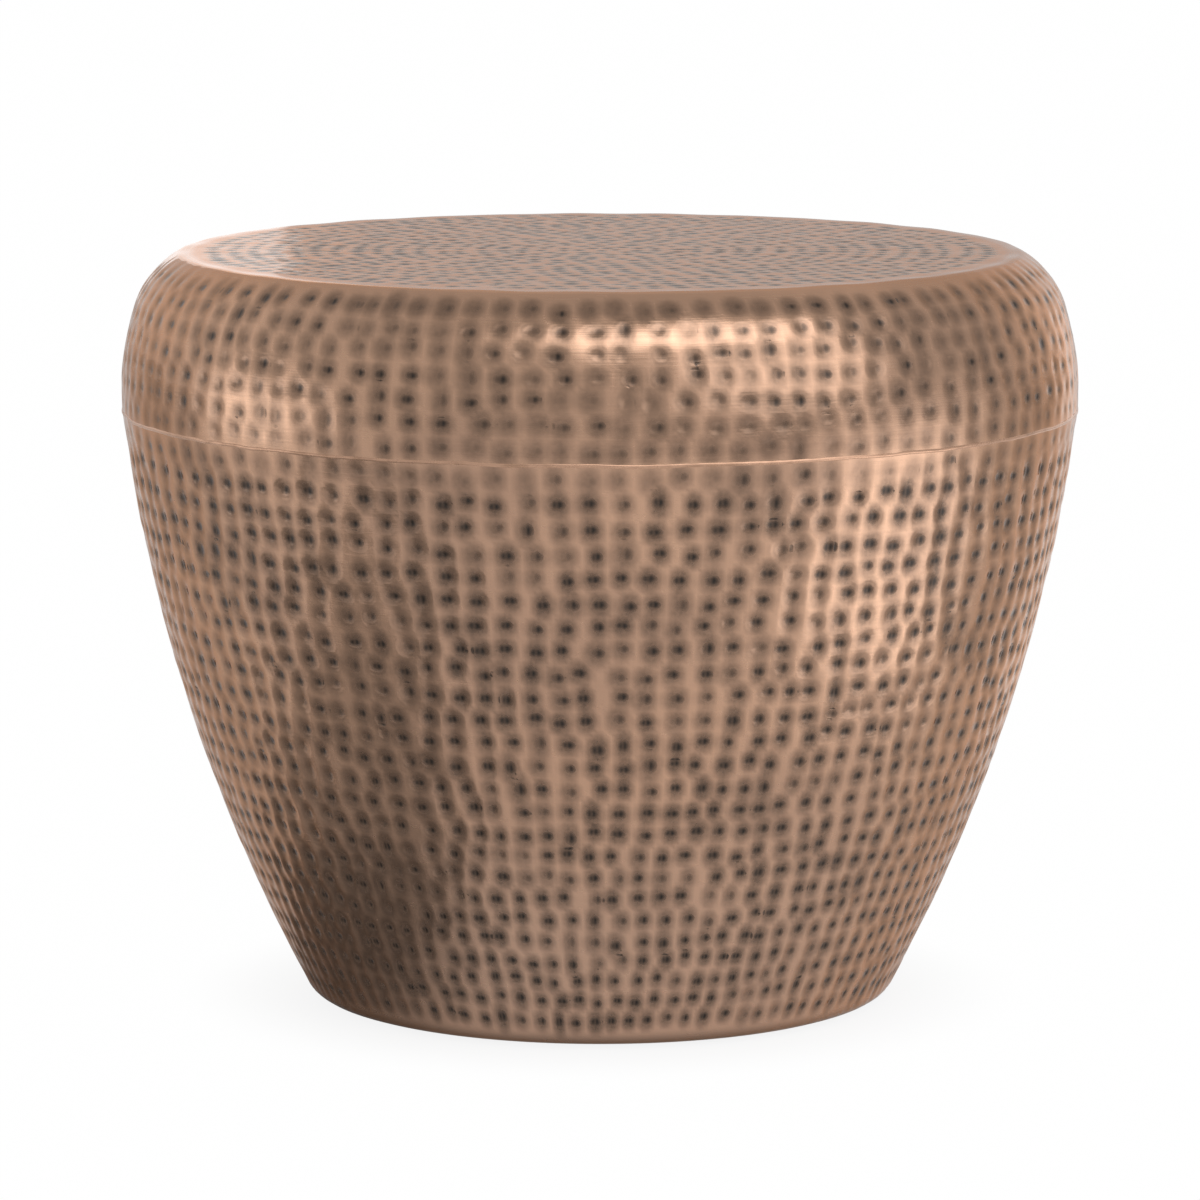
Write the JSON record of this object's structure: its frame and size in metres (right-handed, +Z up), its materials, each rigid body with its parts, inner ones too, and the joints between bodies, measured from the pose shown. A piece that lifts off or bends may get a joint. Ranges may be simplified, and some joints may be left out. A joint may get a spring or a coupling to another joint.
{
  "type": "drum side table",
  "caption": "Drum side table of hammered, copper-finished sheet metal with a flat round top, rounded shoulder and tapered hollow body on rubber feet.",
  "frame": {"origin": "on the floor under the feet, on the drum's axis", "axes": "+Z up along the drum's axis, -Y towards the pictured front, +X to the viewer's right"},
  "size_m": [0.583, 0.5828, 0.458],
  "materials": {
    "hammered_copper": "hammered, antique copper plating rubbed back on the lands, satin lacquer",
    "mill_aluminium": "mill finish",
    "black_steel": "black powder coat",
    "zinc_steel": "zinc plated",
    "black_rubber": "matt"
  },
  "bodies": {
    "root": {"top_shell": "hammered_copper", "lower_shell": "hammered_copper", "seam_weld": "hammered_copper", "seam_backing_ring": "mill_aluminium", "top_stiffener_main": "mill_aluminium", "top_stiffener_front": "mill_aluminium", "top_stiffener_rear": "mill_aluminium", "base_ring": "mill_aluminium", "base_plate": "black_steel", "weld_nuts": "zinc_steel", "plate_screws": "zinc_steel", "foot_screws": "zinc_steel", "foot_washers": "zinc_steel", "foot_front_left": "black_rubber", "foot_front_right": "black_rubber", "foot_rear_left": "black_rubber", "foot_rear_right": "black_rubber"}
  },
  "joints": []
}
